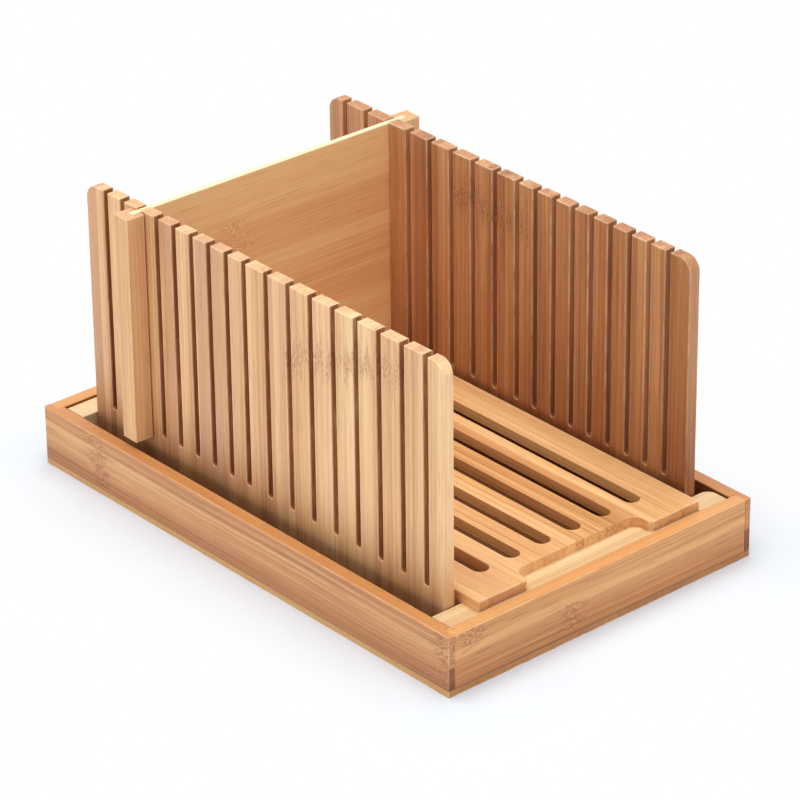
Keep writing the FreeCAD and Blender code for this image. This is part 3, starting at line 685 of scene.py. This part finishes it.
ROOM_LIGHT = 0.42
TABLE_SHADE = (0.77, 0.79, 0.80, 1)
TABLE_LIFT = (0.0, 0.035, 0.083, 1)
SHADOW_REACH = 0.08                      # how far round the tray the table shows its shadow
TABLE_HALF = 6.0


def seen_directly(tree):
    """1 for what the camera sees directly, in a reflection or through glass."""
    path = place(tree, "ShaderNodeLightPath").outputs
    indirect = calc(tree, "MAXIMUM", path["Is Glossy Ray"], path["Is Transmission Ray"])
    return calc(tree, "MAXIMUM", path["Is Camera Ray"], indirect)


def white_room():
    """The world: even pale light from all sides, seen as plain white."""
    world = bpy.data.worlds.new("white room")
    world.use_nodes = True
    tree = world.node_tree
    background = tree.nodes["Background"]
    background.inputs["Color"].default_value = (1, 1, 1, 1)
    glow = place(tree, "ShaderNodeMapRange")
    feed(tree, glow.inputs["Value"], seen_directly(tree))
    glow.inputs["To Min"].default_value = ROOM_LIGHT
    glow.inputs["To Max"].default_value = 1.0
    tree.links.new(glow.outputs["Result"], background.inputs["Strength"])
    return world


def white_table():
    """The floor: matt white, lifted to plain white where it is seen, with its shadow kept. Away
    from the tray it fades into the room's white."""
    material = bpy.data.materials.new("white table")
    material.use_nodes = True
    tree = material.node_tree
    tree.nodes.clear()
    matt = place(tree, "ShaderNodeBsdfDiffuse")
    matt.inputs["Color"].default_value = (0.8, 0.8, 0.8, 1)
    soft = place(tree, "ShaderNodeBsdfDiffuse")
    soft.inputs["Color"].default_value = TABLE_SHADE
    lift = place(tree, "ShaderNodeEmission")
    lift.inputs["Color"].default_value = TABLE_LIFT
    lifted = place(tree, "ShaderNodeAddShader")
    tree.links.new(soft.outputs[0], lifted.inputs[0])
    tree.links.new(lift.outputs[0], lifted.inputs[1])
    where = place(tree, "ShaderNodeTexCoord").outputs["Object"]
    from_middle = calc3(tree, "ABSOLUTE", where, (0.0, 0.0, 0.0))
    past = calc3(tree, "SUBTRACT", from_middle, (*cad_high[:2], 1.0))
    outside = place(tree, "ShaderNodeVectorMath", operation="LENGTH")
    tree.links.new(calc3(tree, "MAXIMUM", past, (0.0, 0.0, 0.0)), outside.inputs[0])
    faded = place(tree, "ShaderNodeMixShader")
    fade = ramp(tree, outside.outputs["Value"], 0.0, SHADOW_REACH, smooth=True)
    feed(tree, faded.inputs[0], fade)
    tree.links.new(lifted.outputs[0], faded.inputs[1])
    tree.links.new(place(tree, "ShaderNodeEmission").outputs[0], faded.inputs[2])
    either = place(tree, "ShaderNodeMixShader")
    feed(tree, either.inputs[0], seen_directly(tree))
    tree.links.new(matt.outputs[0], either.inputs[1])
    tree.links.new(faded.outputs[0], either.inputs[2])
    tree.links.new(either.outputs[0], place(tree, "ShaderNodeOutputMaterial").inputs["Surface"])
    return material


corners = np.array([(-1, -1, 0), (1, -1, 0), (1, 1, 0), (-1, 1, 0)], float) * TABLE_HALF
table_mesh = bpy.data.meshes.new("table")
table_mesh.from_pydata(corners.tolist(), [], [(0, 1, 2, 3)])
table = bpy.data.objects.new("table", table_mesh)
table.data.materials.append(white_table())
bpy.context.scene.collection.objects.link(table)

bpy.context.scene.world = white_room()


def soft_lamp(name, at, aim, size, power):
    """A rectangular soft lamp that faces the point aim."""
    light = bpy.data.lights.new(name, "AREA")
    light.shape = "RECTANGLE"
    light.size, light.size_y = size
    light.energy = power
    lamp = bpy.data.objects.new(name, light)
    lamp.location = at
    lamp.rotation_mode = "QUATERNION"
    lamp.rotation_quaternion = (lamp.location - aim).to_track_quat("Z", "Y")
    lamp.visible_camera = False
    bpy.context.scene.collection.objects.link(lamp)


MIDDLE = Vector((0.0, 0.0, 0.08))
soft_lamp("overhead lamp", (-0.14, 0.08, 3.00), MIDDLE, (2.5, 2.5), 84.0)
soft_lamp("left reflector", (-1.20, 0.25, 0.20), MIDDLE, (1.3, 0.36), 2.9)
soft_lamp("front reflector", (0.10, -1.30, 0.25), MIDDLE, (1.2, 0.40), 3.2)

camera_data = bpy.data.cameras.new("camera")
camera_data.sensor_width = 36.0
camera_data.lens = 195.8
camera_data.clip_end = 50.0
camera = bpy.data.objects.new("camera", camera_data)
camera.location = (-1.3493, -1.5640, 1.1629)
azimuth, elevation, roll = math.radians(-40.94), math.radians(27.96), math.radians(-0.66)
camera.rotation_euler = (math.pi / 2 - elevation, 0.0, azimuth)
camera.rotation_euler.rotate_axis("Z", roll)
bpy.context.scene.collection.objects.link(camera)
bpy.context.scene.camera = camera

bpy.context.scene.view_settings.view_transform = "Standard"
